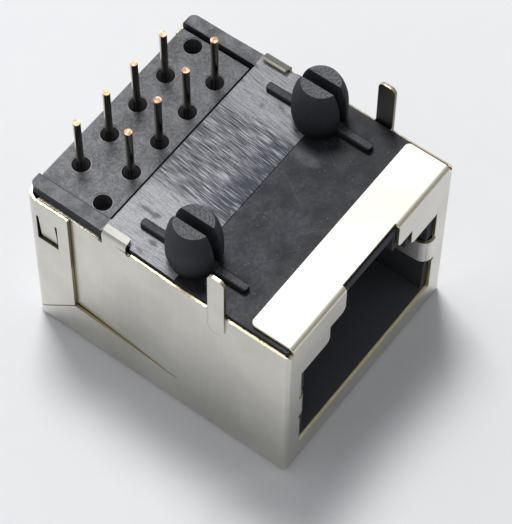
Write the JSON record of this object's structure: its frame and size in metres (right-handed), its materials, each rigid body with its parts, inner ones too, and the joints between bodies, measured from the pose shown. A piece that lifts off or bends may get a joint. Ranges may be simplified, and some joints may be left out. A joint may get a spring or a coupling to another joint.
{
  "type": "shielded modular jack",
  "caption": "Shielded modular jack for a network cable plug, lying board side up: folded metal shell with ground legs, plastic housing with split pegs, bent spring wires.",
  "frame": {"origin": "centre of the bounding box at the resting face, which is the shell's face away from the board", "axes": "+Z from the resting face to the board side, -Y out of the plug port, X across the part"},
  "size_m": [0.0158, 0.0182, 0.0165],
  "materials": {
    "shield": "nickel plated, satin",
    "housing": "moulded, satin",
    "contact_insert": "moulded, spark-eroded grain",
    "contact": "plated wire"
  },
  "bodies": {
    "root": {"shield": "shield", "housing": "housing", "contact_insert": "contact_insert", "contact_1": "contact", "contact_2": "contact", "contact_3": "contact", "contact_4": "contact", "contact_5": "contact", "contact_6": "contact", "contact_7": "contact", "contact_8": "contact"}
  },
  "joints": []
}
